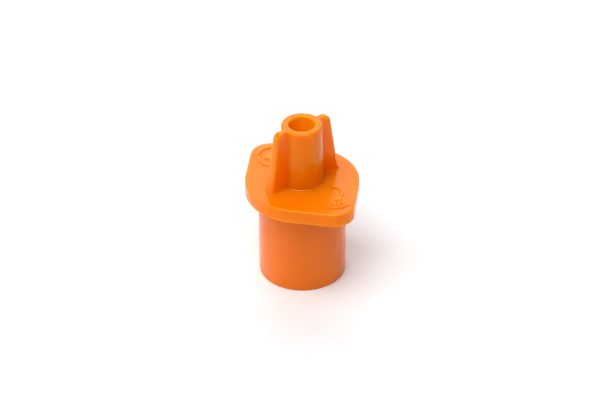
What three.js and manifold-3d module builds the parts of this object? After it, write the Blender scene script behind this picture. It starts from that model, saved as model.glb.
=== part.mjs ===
// Take-apart drip emitter with a plain 1/2 in spigot, a winged quick-thread cap and a 1/4 in tube socket.
// Millimetres, +Z up. The origin is the centre of the spigot's lower end.
// The lobes lie on X and the wings on Y.
import * as THREE from 'three';
import { mergeVertices } from 'three/addons/utils/BufferGeometryUtils.js';
import Module from 'manifold-3d';

const wasm = await Module();
wasm.setup();

// ---- driving dimensions -------------------------------------------------------------------------
const ROUND_SEGMENTS = 64; // facets round the outer bodies
const RING_SEGMENTS = 48; // facets round the inner pieces
const CUT_PAST = 1; // how far a cutter runs past the face that it opens

// spigot collar
const SPIGOT_R = 10.67; // half of 21.34, the outside diameter of 1/2 in pipe
const COLLAR_TOP_R = 10.83; // moulding draft
const COLLAR_TOP_Z = 22.8;
const COLLAR_EDGE_R = 0.35;
const INLET_R = 8.6;
const INLET_TOP_Z = 10.0;
const INLET_LEAD_IN = 0.5;
const LEDGE_Z = 12.0; // the filter basket hangs from this ledge
const LEDGE_THICK = 1.2;
const LEDGE_R = 6.8;
const POCKET_R = 7.5;
const THREAD_POCKET_Z = 15.2;
const O_RING_SEAT_Z = 20.5;
const O_RING_SEAT_R = 9.15;

// quick thread: three starts, so that a third of a turn frees it
const THREAD_STARTS = 3;
const THREAD_LEAD = 12;
const NECK_R = 7.4; // smooth part of the cap's skirt, above and below the ridges
const THREAD_ROOT_R = 7.55;
const THREAD_CREST_R = 8.25;
const THREAD_GAP = 0.2; // between the male and the female thread, on crest, root and flank
const THREAD_STEP = 0.3; // height of one layer of the twisted section
const RIDGE_LAYERS = 15;
const RIDGE_HALF_BASE = THREE.MathUtils.degToRad(22);
const RIDGE_HALF_CREST = THREE.MathUtils.degToRad(13);

// cap
const SKIRT_BOTTOM_Z = 15.4;
const SKIRT_IN_R = 6.35;
const FLANGE_THICK = 3.6;
const FLANGE_TOP_Z = COLLAR_TOP_Z + FLANGE_THICK;
const FLANGE_MID_R = 14.03;
const LOBE_X = 13.18;
const LOBE_R = 4.99;
const FLANGE_EDGE_R = 0.4;
const CEILING_Z = 23.9;
const SPOUT_R = 5.05; // at the rim
const SPOUT_BASE_R = 5.35; // moulding draft
const TOTAL_H = 42.5;
const TUBE_SOCKET_R = 3.27; // takes 1/4 in (6.35) tube
const TUBE_STOP_Z = 25.6;
const TUBE_STOP_R = 1.6;
const RIM_EDGE_R = 0.55;
const RIM_LEAD_IN = 0.35;
const WING_TOP_Y = 7.9;
const WING_BASE_Y = 10.1;
const WING_TOP_THICK = 1.95;
const WING_BASE_THICK = 2.8;
const WING_CORNER_R = 1.2;
const WING_EDGE = 0.45;
const EMBOSS = 0.3;
const MARK_LINE = 0.6;
const MARK_RING_CENTRE = [-11.6, 0];
const MARK_RING_R = 4.1;
const MARK_RING_GAP = 20; // degrees, at the two places where the ring is open
const MARK_RING_TURN = 50;
const DROP_CENTRE = [-12.2, -0.5];
const ARROW_CENTRE = [9.3, 1.9];
const ARROW_R = 2.75;
const ARROW_FROM = 15;
const ARROW_TO = 140;
const ARROW_HEAD_HALF = 0.85;
const ARROW_HEAD_LENGTH = 1.3;
const TALLY_CENTRE = [11.5, 1.6];
const TALLY_R = 2.65;
const TALLY_ANGLES = [-60, -37, -14, 9];
const TALLY_SLANT = -37;
const TALLY_LENGTH = 1.9;
const TALLY_LINE_R = 4.2;
const TALLY_LINE_FROM = -57;
const TALLY_LINE_TO = 12;

// inner pieces
const CARRIER_FLANGE_R = 7.3;
const CARRIER_FLANGE_THICK = 1.2;
const BASKET_RIM_THICK = 1.0;
const CARTRIDGE_R = 6.2;
const CHAMBER_R = 5.2;
const CARRIER_FLOOR_Z = 15.0;
const CARRIER_PAD_Z = 15.4; // the diaphragm lies on this raised ring at low pressure
const CARRIER_PAD_IN_R = 1.9;
const CARRIER_PAD_OUT_R = 2.6;
const CARRIER_TOP_Z = 17.4;
const PORT_R = 0.6;
const PORT_CIRCLE_R = 3.9;
const PORT_COUNT = 6;
const DIAPHRAGM_R = 5.0;
const DIAPHRAGM_THICK = 1.0;
const SEAT_LIP_Z = 17.0;
const SEAT_LIP_R = 1.7;
const SEAT_LIP_DRAFT = 0.3;
const SEAT_TOP_Z = 20.3;
const SEAT_CHAMBER_TOP_Z = 18.6;
const OUTLET_R = 0.7;
const LABYRINTH_TOP_Z = 23.1;
const LABYRINTH_DEPTH = 1.0;
const LABYRINTH_IN_R = 2.6;
const LABYRINTH_OUT_R = 4.9;
const LABYRINTH_SLOT = 0.6;
const LABYRINTH_SLOTS = 22;
const LABYRINTH_LINK_LENGTH = 2.8; // joins the drop hole to the end of the maze
const LABYRINTH_LINK_TURN = 0.22;
const BASKET_TOP_R = 6.55;
const BASKET_END_R = 5.7;
const BASKET_END_Z = 5.2;
const BASKET_WALL = 0.9;
const MESH_WALL = 0.35;
const MESH_GAP = 0.05;
const O_RING_GAP = 0.08; // between the O-ring and the walls that squeeze it
const CARRIER_SEAL_SIDE_GAP = 0.2;
const CARRIER_SEAL_TOP_GAP = 0.05;
const WINDOW_COUNT = 6;
const WINDOW_WIDTH = 3.6;
const WINDOW_LOW_Z = 6.7;
const WINDOW_HIGH_Z = 11.0;
const END_HOLE_R = 0.8;
const END_HOLE_CIRCLE_R = 3.2;

// ---- materials ----------------------------------------------------------------------------------
function plastic(colour, roughness) {
  return new THREE.MeshStandardMaterial({ color: colour, roughness, metalness: 0 });
}
const ORANGE = plastic(0xf27a18, 0.4);
const BLACK_RUBBER = plastic(0x1c1c1e, 0.7);
const CLEAR_SILICONE = plastic(0xd9dcd6, 0.5);
const GREY_ACETAL = plastic(0x5b6168, 0.45);
const IVORY_ACETAL = plastic(0xe8e2d0, 0.45);
const BLUE_NYLON = plastic(0x2f5f9c, 0.6);

// ---- solids -------------------------------------------------------------------------------------
function signedVolume(geometry) {
  const flat = geometry.index ? geometry.toNonIndexed() : geometry;
  const points = flat.getAttribute('position');
  const [a, b, c] = [new THREE.Vector3(), new THREE.Vector3(), new THREE.Vector3()];
  let total = 0;
  for (let i = 0; i < points.count; i += 3) {
    a.fromBufferAttribute(points, i);
    b.fromBufferAttribute(points, i + 1);
    c.fromBufferAttribute(points, i + 2);
    total += a.dot(b.cross(c)) / 6;
  }
  return total;
}

function solid(geometry) {
  const bare = geometry.clone();
  bare.deleteAttribute('normal');
  bare.deleteAttribute('uv');
  const merged = mergeVertices(bare, 1e-4);
  const triangles = Uint32Array.from(merged.index.array);
  if (signedVolume(merged) < 0) {
    for (let i = 0; i < triangles.length; i += 3) {
      [triangles[i + 1], triangles[i + 2]] = [triangles[i + 2], triangles[i + 1]];
    }
  }
  const vertices = new Float32Array(merged.getAttribute('position').array);
  const mesh = new wasm.Mesh({ numProp: 3, vertProperties: vertices, triVerts: triangles });
  mesh.merge();
  return new wasm.Manifold(mesh);
}

function geometryOf(manifold) {
  const { vertProperties, triVerts } = manifold.getMesh();
  const geometry = new THREE.BufferGeometry();
  geometry.setAttribute('position', new THREE.BufferAttribute(vertProperties, 3));
  geometry.setIndex(new THREE.BufferAttribute(triVerts, 1));
  geometry.computeVertexNormals();
  return geometry;
}

function cut(manifold, cutters) {
  return cutters.reduce((left, cutter) => left.subtract(cutter), manifold);
}

function join(pieces) {
  return pieces.reduce((whole, piece) => whole.add(piece));
}

// A profile is a list of [radius, z] corners, turned about Z.
function turned(profile, segments = ROUND_SEGMENTS) {
  const points = profile.map(([r, z]) => new THREE.Vector2(r, z));
  const geometry = new THREE.LatheGeometry(points, segments);
  geometry.rotateX(Math.PI / 2);
  return solid(geometry);
}

function turnedDisc(radius, low, high, segments = RING_SEGMENTS) {
  return turned([[0, low], [radius, low], [radius, high], [0, high]], segments);
}

function turnedRing(inner, outer, low, high, segments = RING_SEGMENTS) {
  return turned([[inner, low], [outer, low], [outer, high], [inner, high], [inner, low]], segments);
}

// Points of a quarter round in a profile, from angle start to angle end in degrees.
function roundCorner(centreR, centreZ, radius, start, end, count = 4) {
  const corner = [];
  for (let i = 0; i <= count; i += 1) {
    const angle = THREE.MathUtils.degToRad(start + ((end - start) * i) / count);
    corner.push([centreR + radius * Math.cos(angle), centreZ + radius * Math.sin(angle)]);
  }
  return corner;
}

function extruded(shape, low, high, curveSegments = 8) {
  const options = { depth: high - low, bevelEnabled: false, curveSegments };
  const geometry = new THREE.ExtrudeGeometry(shape, options);
  geometry.translate(0, 0, low);
  return solid(geometry);
}

function box(width, depth, height, x, y, z) {
  const geometry = new THREE.BoxGeometry(width, depth, height);
  geometry.translate(x, y, z);
  return solid(geometry);
}

// A box that lies along a radius, turned by an angle about Z.
function radialBox(from, to, width, low, high, angle) {
  const geometry = new THREE.BoxGeometry(to - from, width, high - low);
  geometry.translate((from + to) / 2, 0, (low + high) / 2);
  geometry.rotateZ(angle);
  return solid(geometry);
}

function pin(radius, low, high, x, y, segments = 12) {
  const geometry = new THREE.CylinderGeometry(radius, radius, high - low, segments);
  geometry.rotateX(Math.PI / 2);
  geometry.translate(x, y, (low + high) / 2);
  return solid(geometry);
}

// ---- quick thread -------------------------------------------------------------------------------
function threadSection(root, crest, halfBase, halfCrest) {
  const shape = new THREE.Shape();
  const pitchAngle = (2 * Math.PI) / THREAD_STARTS;
  const valleySteps = 6;
  const crestSteps = 2;
  const corners = [];
  for (let start = 0; start < THREAD_STARTS; start += 1) {
    const middle = start * pitchAngle;
    for (let i = 0; i <= crestSteps; i += 1) {
      corners.push([crest, middle - halfCrest + (2 * halfCrest * i) / crestSteps]);
    }
    const valley = pitchAngle - 2 * halfBase;
    for (let i = 0; i <= valleySteps; i += 1) {
      corners.push([root, middle + halfBase + (valley * i) / valleySteps]);
    }
  }
  corners.forEach(([r, angle], i) => {
    const [x, y] = [r * Math.cos(angle), r * Math.sin(angle)];
    if (i === 0) shape.moveTo(x, y);
    else shape.lineTo(x, y);
  });
  return shape;
}

// The section turns with height, so that the ridges climb as a right-hand thread.
function twisted(shape, low, high) {
  const steps = Math.round((high - low) / THREAD_STEP);
  const options = { depth: high - low, steps, bevelEnabled: false };
  const geometry = new THREE.ExtrudeGeometry(shape, options);
  geometry.translate(0, 0, low);
  const points = geometry.getAttribute('position');
  const axis = new THREE.Vector3(0, 0, 1);
  const point = new THREE.Vector3();
  for (let i = 0; i < points.count; i += 1) {
    point.fromBufferAttribute(points, i);
    point.applyAxisAngle(axis, (2 * Math.PI * point.z) / THREAD_LEAD);
    points.setXYZ(i, point.x, point.y, point.z);
  }
  return solid(geometry);
}

function maleThread() {
  const low = SKIRT_BOTTOM_Z + 2 * THREAD_STEP;
  const section = threadSection(THREAD_ROOT_R, THREAD_CREST_R, RIDGE_HALF_BASE, RIDGE_HALF_CREST);
  return twisted(section, low, low + RIDGE_LAYERS * THREAD_STEP);
}

function femaleThreadCutter() {
  const flankAngle = THREAD_GAP / THREAD_ROOT_R + (2 * Math.PI * THREAD_GAP) / THREAD_LEAD;
  const low = THREAD_POCKET_Z;
  const high = low + Math.ceil((O_RING_SEAT_Z - low) / THREAD_STEP + 1) * THREAD_STEP;
  const section = threadSection(
    THREAD_ROOT_R + THREAD_GAP,
    THREAD_CREST_R + THREAD_GAP,
    RIDGE_HALF_BASE + flankAngle,
    RIDGE_HALF_CREST + flankAngle,
  );
  return twisted(section, low, high);
}

// ---- spigot collar ------------------------------------------------------------------------------
function baseCollar() {
  const body = turned([
    [0, 0],
    ...roundCorner(SPIGOT_R - COLLAR_EDGE_R, COLLAR_EDGE_R, COLLAR_EDGE_R, -90, 0),
    [COLLAR_TOP_R, COLLAR_TOP_Z],
    [0, COLLAR_TOP_Z],
  ]);
  const inside = turned([
    [0, -CUT_PAST],
    [INLET_R + INLET_LEAD_IN + CUT_PAST, -CUT_PAST],
    [INLET_R, INLET_LEAD_IN],
    [INLET_R, INLET_TOP_Z],
    [LEDGE_R, LEDGE_Z - LEDGE_THICK],
    [LEDGE_R, LEDGE_Z],
    [POCKET_R, LEDGE_Z],
    [POCKET_R, THREAD_POCKET_Z + CUT_PAST],
    [0, THREAD_POCKET_Z + CUT_PAST],
  ]);
  const sealSeat = turnedDisc(O_RING_SEAT_R, O_RING_SEAT_Z, COLLAR_TOP_Z + CUT_PAST, ROUND_SEGMENTS);
  return cut(body, [inside, femaleThreadCutter(), sealSeat]);
}

// ---- winged cap ---------------------------------------------------------------------------------
// Two lobes and the wide middle, joined by straight sides that touch all three circles.
function flangeShape(inset = 0) {
  const middleR = FLANGE_MID_R - inset;
  const lobeR = LOBE_R - inset;
  const touch = Math.acos((middleR - lobeR) / LOBE_X);
  const shape = new THREE.Shape();
  shape.absarc(0, 0, middleR, touch, Math.PI - touch, false);
  shape.absarc(-LOBE_X, 0, lobeR, Math.PI - touch, Math.PI + touch, false);
  shape.absarc(0, 0, middleR, Math.PI + touch, 2 * Math.PI - touch, false);
  shape.absarc(LOBE_X, 0, lobeR, -touch, touch, false);
  return shape;
}

function flange() {
  const geometry = new THREE.ExtrudeGeometry(flangeShape(FLANGE_EDGE_R), {
    depth: FLANGE_THICK - 2 * FLANGE_EDGE_R,
    bevelEnabled: true,
    bevelThickness: FLANGE_EDGE_R,
    bevelSize: FLANGE_EDGE_R,
    bevelSegments: 2,
    curveSegments: 16,
  });
  geometry.translate(0, 0, COLLAR_TOP_Z + FLANGE_EDGE_R);
  return solid(geometry);
}

function wings() {
  const baseZ = FLANGE_TOP_Z - FLANGE_EDGE_R;
  const reach = (z) => {
    const share = (TOTAL_H - z) / (TOTAL_H - FLANGE_TOP_Z);
    return WING_TOP_Y + (WING_BASE_Y - WING_TOP_Y) * share - WING_EDGE;
  };
  const topZ = TOTAL_H - WING_EDGE;
  const shape = new THREE.Shape();
  shape.moveTo(-reach(baseZ), baseZ);
  shape.lineTo(reach(baseZ), baseZ);
  shape.lineTo(reach(topZ - WING_CORNER_R), topZ - WING_CORNER_R);
  shape.quadraticCurveTo(reach(topZ), topZ, reach(topZ) - WING_CORNER_R, topZ);
  shape.lineTo(-reach(topZ) + WING_CORNER_R, topZ);
  shape.quadraticCurveTo(-reach(topZ), topZ, -reach(topZ - WING_CORNER_R), topZ - WING_CORNER_R);
  shape.closePath();
  const geometry = new THREE.ExtrudeGeometry(shape, {
    depth: WING_TOP_THICK - 2 * WING_EDGE,
    bevelEnabled: true,
    bevelThickness: WING_EDGE,
    bevelSize: WING_EDGE,
    bevelSegments: 2,
    curveSegments: 4,
  });
  geometry.translate(0, 0, WING_EDGE - WING_TOP_THICK / 2);
  geometry.rotateX(Math.PI / 2);
  geometry.rotateZ(Math.PI / 2);
  thickenDownward(geometry);
  return solid(geometry);
}

// Moulding draft: the wings' thickness, along X, grows from the top down to the flange.
function thickenDownward(geometry) {
  const points = geometry.getAttribute('position');
  for (let i = 0; i < points.count; i += 1) {
    const share = (TOTAL_H - points.getZ(i)) / (TOTAL_H - FLANGE_TOP_Z);
    const thick = WING_TOP_THICK + (WING_BASE_THICK - WING_TOP_THICK) * share;
    points.setX(i, (points.getX(i) * thick) / WING_TOP_THICK);
  }
}

// A line of the marks' width along an arc, from one angle to the other in degrees.
function arcLine(radius, from, to, low, high) {
  const start = THREE.MathUtils.degToRad(from);
  const end = THREE.MathUtils.degToRad(to);
  const shape = new THREE.Shape();
  shape.absarc(0, 0, radius + MARK_LINE / 2, start, end, false);
  shape.absarc(0, 0, radius - MARK_LINE / 2, end, start, true);
  shape.closePath();
  return extruded(shape, low, high);
}

// A water drop in a ring that is open at two places.
function dropMark() {
  const drop = new THREE.Shape();
  drop.moveTo(0, 2.3);
  drop.bezierCurveTo(0.5, 1.2, 1.3, 0.4, 1.3, -0.5);
  drop.absarc(0, -0.5, 1.3, 0, -Math.PI, true);
  drop.bezierCurveTo(-1.3, 0.4, -0.5, 1.2, 0, 2.3);
  const low = FLANGE_TOP_Z - EMBOSS;
  const high = FLANGE_TOP_Z + EMBOSS;
  const from = MARK_RING_TURN + MARK_RING_GAP / 2;
  const to = MARK_RING_TURN + 180 - MARK_RING_GAP / 2;
  const half = arcLine(MARK_RING_R, from, to, low, high);
  const ring = join([half, half.rotate([0, 0, 180])]);
  return join([
    extruded(drop, low, high).translate([...DROP_CENTRE, 0]),
    ring.translate([...MARK_RING_CENTRE, 0]),
  ]);
}

// A curved arrow that shows the way to turn, with slanted bars and a line along them beside it.
function turnMark() {
  const low = FLANGE_TOP_Z - EMBOSS;
  const high = FLANGE_TOP_Z + EMBOSS;
  const head = new THREE.Shape();
  head.moveTo(ARROW_R - ARROW_HEAD_HALF, 0.1);
  head.lineTo(ARROW_R, -ARROW_HEAD_LENGTH);
  head.lineTo(ARROW_R + ARROW_HEAD_HALF, 0.1);
  head.closePath();
  const arrow = join([
    arcLine(ARROW_R, ARROW_FROM, ARROW_TO, low, high),
    extruded(head, low, high).rotate([0, 0, ARROW_FROM]),
  ]).translate([...ARROW_CENTRE, 0]);
  const bars = TALLY_ANGLES.map((degrees) => {
    const angle = THREE.MathUtils.degToRad(degrees);
    return box(TALLY_LENGTH, MARK_LINE, high - low, 0, 0, (low + high) / 2)
      .rotate([0, 0, TALLY_SLANT])
      .translate([TALLY_R * Math.cos(angle), TALLY_R * Math.sin(angle), 0]);
  });
  const tally = join([...bars, arcLine(TALLY_LINE_R, TALLY_LINE_FROM, TALLY_LINE_TO, low, high)]);
  return join([arrow, tally.translate([...TALLY_CENTRE, 0])]);
}

function wingedCap() {
  const stem = turned([
    [0, SKIRT_BOTTOM_Z],
    [NECK_R, SKIRT_BOTTOM_Z],
    [NECK_R, FLANGE_TOP_Z - CUT_PAST],
    [SPOUT_BASE_R, FLANGE_TOP_Z - CUT_PAST],
    ...roundCorner(SPOUT_R - RIM_EDGE_R, TOTAL_H - RIM_EDGE_R, RIM_EDGE_R, 0, 90),
    [0, TOTAL_H],
  ]);
  const inside = turned([
    [0, SKIRT_BOTTOM_Z - CUT_PAST],
    [SKIRT_IN_R, SKIRT_BOTTOM_Z - CUT_PAST],
    [SKIRT_IN_R, CEILING_Z],
    [TUBE_STOP_R, CEILING_Z],
    [TUBE_STOP_R, TUBE_STOP_Z],
    [TUBE_SOCKET_R, TUBE_STOP_Z],
    [TUBE_SOCKET_R, TOTAL_H - RIM_LEAD_IN],
    [TUBE_SOCKET_R + RIM_LEAD_IN + CUT_PAST, TOTAL_H + CUT_PAST],
    [0, TOTAL_H + CUT_PAST],
  ]);
  const outside = join([stem, flange(), wings(), maleThread(), dropMark(), turnMark()]);
  return cut(outside, [inside]);
}

// ---- seals --------------------------------------------------------------------------------------
function oRing(middleR, wireR, z, sides = 12) {
  const section = [];
  for (let i = 0; i <= sides; i += 1) {
    const angle = (2 * Math.PI * i) / sides;
    section.push([middleR + wireR * Math.cos(angle), z + wireR * Math.sin(angle)]);
  }
  section[sides] = section[0];
  return turned(section, RING_SEGMENTS);
}

function capORing() {
  const inner = NECK_R + O_RING_GAP;
  const outer = O_RING_SEAT_R - O_RING_GAP;
  return oRing((inner + outer) / 2, (outer - inner) / 2, O_RING_SEAT_Z + (outer - inner) / 2 + 0.1);
}

function carrierSeal() {
  const low = LEDGE_Z + BASKET_RIM_THICK + CARRIER_FLANGE_THICK;
  const high = SKIRT_BOTTOM_Z - CARRIER_SEAL_TOP_GAP;
  return turnedRing(CARTRIDGE_R + CARRIER_SEAL_SIDE_GAP, CARRIER_FLANGE_R, low, high);
}

// ---- metering cartridge -------------------------------------------------------------------------
function diaphragmCarrier() {
  const flangeLow = LEDGE_Z + BASKET_RIM_THICK;
  const flangeHigh = flangeLow + CARRIER_FLANGE_THICK;
  const body = turned([
    [0, flangeLow],
    [CARRIER_FLANGE_R, flangeLow],
    [CARRIER_FLANGE_R, flangeHigh],
    [CARTRIDGE_R, flangeHigh],
    [CARTRIDGE_R, CARRIER_TOP_Z],
    [CHAMBER_R, CARRIER_TOP_Z],
    [CHAMBER_R, CARRIER_FLOOR_Z],
    [CARRIER_PAD_OUT_R, CARRIER_FLOOR_Z],
    [CARRIER_PAD_OUT_R, CARRIER_PAD_Z],
    [CARRIER_PAD_IN_R, CARRIER_PAD_Z],
    [CARRIER_PAD_IN_R, CARRIER_FLOOR_Z],
    [0, CARRIER_FLOOR_Z],
  ], RING_SEGMENTS);
  const ports = [];
  for (let i = 0; i < PORT_COUNT; i += 1) {
    const angle = (2 * Math.PI * i) / PORT_COUNT;
    const [x, y] = [PORT_CIRCLE_R * Math.cos(angle), PORT_CIRCLE_R * Math.sin(angle)];
    ports.push(pin(PORT_R, flangeLow - CUT_PAST, CARRIER_FLOOR_Z + CUT_PAST, x, y));
  }
  return cut(body, ports);
}

function diaphragm() {
  return turnedDisc(DIAPHRAGM_R, CARRIER_PAD_Z, CARRIER_PAD_Z + DIAPHRAGM_THICK);
}

function meteringSeat() {
  const body = turned([
    [OUTLET_R, SEAT_LIP_Z],
    [SEAT_LIP_R, SEAT_LIP_Z],
    [SEAT_LIP_R + SEAT_LIP_DRAFT, SEAT_CHAMBER_TOP_Z],
    [CHAMBER_R, SEAT_CHAMBER_TOP_Z],
    [CHAMBER_R, CARRIER_TOP_Z],
    [CARTRIDGE_R, CARRIER_TOP_Z],
    [CARTRIDGE_R, SEAT_TOP_Z],
    [OUTLET_R, SEAT_TOP_Z],
    [OUTLET_R, SEAT_LIP_Z],
  ], RING_SEGMENTS);
  const feed = pin(PORT_R, SEAT_CHAMBER_TOP_Z - CUT_PAST, SEAT_TOP_Z + CUT_PAST, 0, -PORT_CIRCLE_R);
  return cut(body, [feed]);
}

// A maze of radial slots joined by short turns at their outer and inner ends in turn.
function labyrinthCutter() {
  const low = LABYRINTH_TOP_Z - LABYRINTH_DEPTH;
  const high = LABYRINTH_TOP_Z + CUT_PAST;
  const step = (2 * Math.PI) / (LABYRINTH_SLOTS + 2);
  const half = LABYRINTH_SLOT / 2;
  const cutters = [];
  for (let i = 0; i < LABYRINTH_SLOTS; i += 1) {
    const angle = -Math.PI / 2 + step * (i + 1);
    const outer = i === 0 ? CARTRIDGE_R + CUT_PAST : LABYRINTH_OUT_R;
    cutters.push(radialBox(LABYRINTH_IN_R, outer, LABYRINTH_SLOT, low, high, angle));
    if (i === LABYRINTH_SLOTS - 1) break;
    const turnR = i % 2 === 0 ? LABYRINTH_IN_R + half : LABYRINTH_OUT_R - half;
    const span = 2 * turnR * Math.tan(step / 2) + half;
    cutters.push(radialBox(turnR - half, turnR + half, span, low, high, angle + step / 2));
  }
  return join(cutters);
}

function labyrinthDisc() {
  const body = turnedRing(OUTLET_R, CARTRIDGE_R, SEAT_TOP_Z, LABYRINTH_TOP_Z);
  const drop = pin(PORT_R, SEAT_TOP_Z - CUT_PAST, LABYRINTH_TOP_Z + CUT_PAST, 0, -PORT_CIRCLE_R);
  const link = radialBox(
    PORT_CIRCLE_R - LABYRINTH_SLOT / 2,
    PORT_CIRCLE_R + LABYRINTH_SLOT / 2,
    LABYRINTH_LINK_LENGTH,
    LABYRINTH_TOP_Z - LABYRINTH_DEPTH,
    LABYRINTH_TOP_Z + CUT_PAST,
    -Math.PI / 2 - LABYRINTH_LINK_TURN,
  );
  return cut(body, [labyrinthCutter(), drop, link]);
}

function labyrinthGasket() {
  return turnedRing(TUBE_STOP_R, CARTRIDGE_R, LABYRINTH_TOP_Z, CEILING_Z);
}

// ---- filter -------------------------------------------------------------------------------------
function filterBasket() {
  const rimTop = LEDGE_Z + BASKET_RIM_THICK;
  const shell = turned([
    [0, BASKET_END_Z],
    [BASKET_END_R, BASKET_END_Z],
    [BASKET_TOP_R, LEDGE_Z],
    [CARRIER_FLANGE_R, LEDGE_Z],
    [CARRIER_FLANGE_R, rimTop],
    [BASKET_TOP_R - BASKET_WALL, rimTop],
    [BASKET_END_R - BASKET_WALL, BASKET_END_Z + BASKET_WALL],
    [0, BASKET_END_Z + BASKET_WALL],
  ], RING_SEGMENTS);
  const windows = [];
  for (let i = 0; i < WINDOW_COUNT; i += 1) {
    const angle = (2 * Math.PI * (i + 0.5)) / WINDOW_COUNT;
    const from = BASKET_END_R - BASKET_WALL - CUT_PAST;
    const to = BASKET_TOP_R + CUT_PAST;
    windows.push(radialBox(from, to, WINDOW_WIDTH, WINDOW_LOW_Z, WINDOW_HIGH_Z, angle));
    const [x, y] = [END_HOLE_CIRCLE_R * Math.cos(angle), END_HOLE_CIRCLE_R * Math.sin(angle)];
    const [low, high] = [BASKET_END_Z - CUT_PAST, BASKET_END_Z + BASKET_WALL + CUT_PAST];
    windows.push(pin(END_HOLE_R, low, high, x, y));
  }
  return cut(shell, windows);
}

function filterMesh() {
  const top = LEDGE_Z + BASKET_RIM_THICK - 0.1;
  const low = BASKET_END_Z + BASKET_WALL + MESH_GAP;
  const outTop = BASKET_TOP_R - BASKET_WALL - MESH_GAP;
  const outLow = BASKET_END_R - BASKET_WALL - MESH_GAP;
  return turned([
    [0, low],
    [outLow, low],
    [outTop, top],
    [outTop - MESH_WALL, top],
    [outLow - MESH_WALL, low + MESH_WALL],
    [0, low + MESH_WALL],
  ], RING_SEGMENTS);
}

// ---- assembly -----------------------------------------------------------------------------------
const PIECES = [
  ['base_collar', baseCollar, ORANGE],
  ['winged_cap', wingedCap, ORANGE],
  ['cap_o_ring', capORing, BLACK_RUBBER],
  ['carrier_seal', carrierSeal, BLACK_RUBBER],
  ['diaphragm_carrier', diaphragmCarrier, GREY_ACETAL],
  ['diaphragm', diaphragm, CLEAR_SILICONE],
  ['metering_seat', meteringSeat, IVORY_ACETAL],
  ['labyrinth_disc', labyrinthDisc, GREY_ACETAL],
  ['labyrinth_gasket', labyrinthGasket, BLACK_RUBBER],
  ['filter_basket', filterBasket, IVORY_ACETAL],
  ['filter_mesh', filterMesh, BLUE_NYLON],
];

const group = new THREE.Group();
for (const [name, make, material] of PIECES) {
  const mesh = new THREE.Mesh(geometryOf(make()), material);
  mesh.name = name;
  group.add(mesh);
}

export default group;
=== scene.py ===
import math

import bmesh
import bpy
import numpy as np
from mathutils import Matrix, Vector
from mathutils.geometry import delaunay_2d_cdt


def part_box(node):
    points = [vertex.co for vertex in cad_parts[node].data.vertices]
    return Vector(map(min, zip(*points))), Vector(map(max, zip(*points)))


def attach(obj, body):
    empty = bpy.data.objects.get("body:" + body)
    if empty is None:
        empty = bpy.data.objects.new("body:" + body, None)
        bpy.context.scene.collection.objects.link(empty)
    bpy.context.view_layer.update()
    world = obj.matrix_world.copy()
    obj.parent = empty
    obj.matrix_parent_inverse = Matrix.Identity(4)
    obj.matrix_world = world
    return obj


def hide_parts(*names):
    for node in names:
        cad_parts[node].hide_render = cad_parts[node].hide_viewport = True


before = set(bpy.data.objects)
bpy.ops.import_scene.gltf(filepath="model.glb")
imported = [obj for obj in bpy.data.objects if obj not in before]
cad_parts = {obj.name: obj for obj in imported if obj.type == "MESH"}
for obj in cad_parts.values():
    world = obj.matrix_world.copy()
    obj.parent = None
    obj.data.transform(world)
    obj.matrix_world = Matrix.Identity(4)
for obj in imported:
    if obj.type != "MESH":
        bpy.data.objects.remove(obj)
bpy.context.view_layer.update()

MM = 0.001

# ---- places taken from the frame, in millimetres ----


def node_box(node):
    """Lowest and highest corners of a CAD node at rest, in millimetres."""
    low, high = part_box(node)
    return Vector(low) / MM, Vector(high) / MM


_, COLLAR_HIGH = node_box("base_collar")
CAP_LOW, CAP_HIGH = node_box("winged_cap")
O_RING_LOW, O_RING_HIGH = node_box("cap_o_ring")
SEAL_LOW, SEAL_HIGH = node_box("carrier_seal")
CARRIER_LOW, CARRIER_HIGH = node_box("diaphragm_carrier")
DISC_LOW, DISC_HIGH = node_box("diaphragm")
SEAT_LOW, SEAT_HIGH = node_box("metering_seat")
MAZE_LOW, MAZE_HIGH = node_box("labyrinth_disc")
GASKET_LOW, GASKET_HIGH = node_box("labyrinth_gasket")
BASKET_LOW, BASKET_HIGH = node_box("filter_basket")
MESH_LOW, MESH_HIGH = node_box("filter_mesh")

COLLAR_TOP_Z = COLLAR_HIGH.z
COLLAR_TOP_R = COLLAR_HIGH.x
TOTAL_H = CAP_HIGH.z
SKIRT_BOTTOM_Z = CAP_LOW.z
CEILING_Z = GASKET_HIGH.z

# ---- details that the frame's boxes don't hold, in millimetres ----
SPIGOT_R = 10.67
COLLAR_EDGE_R = 0.35
COLLAR_TOP_EDGE_R = 0.2
INLET_R = 8.6
INLET_TOP_Z = 10.0
INLET_LEAD_IN = 0.5
LEDGE_Z = 12.0
LEDGE_THICK = 1.2
LEDGE_R = 6.8
POCKET_R = 7.5
THREAD_POCKET_Z = 15.2
O_RING_SEAT_Z = 20.5
O_RING_SEAT_R = 9.15
O_RING_LEAD_IN = 0.25
CORNER = 0.15  # how far an inner corner of the collar or the cap is broken

THREAD_STARTS = 3
THREAD_LEAD = 12.0
NECK_R = 7.4
THREAD_ROOT_R = 7.55
THREAD_CREST_R = 8.25
THREAD_GAP = 0.2
RIDGE_HALF_BASE = math.radians(22)
RIDGE_HALF_CREST = math.radians(13)
RIDGE_START = 0.5  # where the male ridges start and end, above the skirt's lower end
RIDGE_END = 5.1
RIDGE_RUN_OUT = 0.5
GROOVE_RUN_OUT = 0.3

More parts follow.
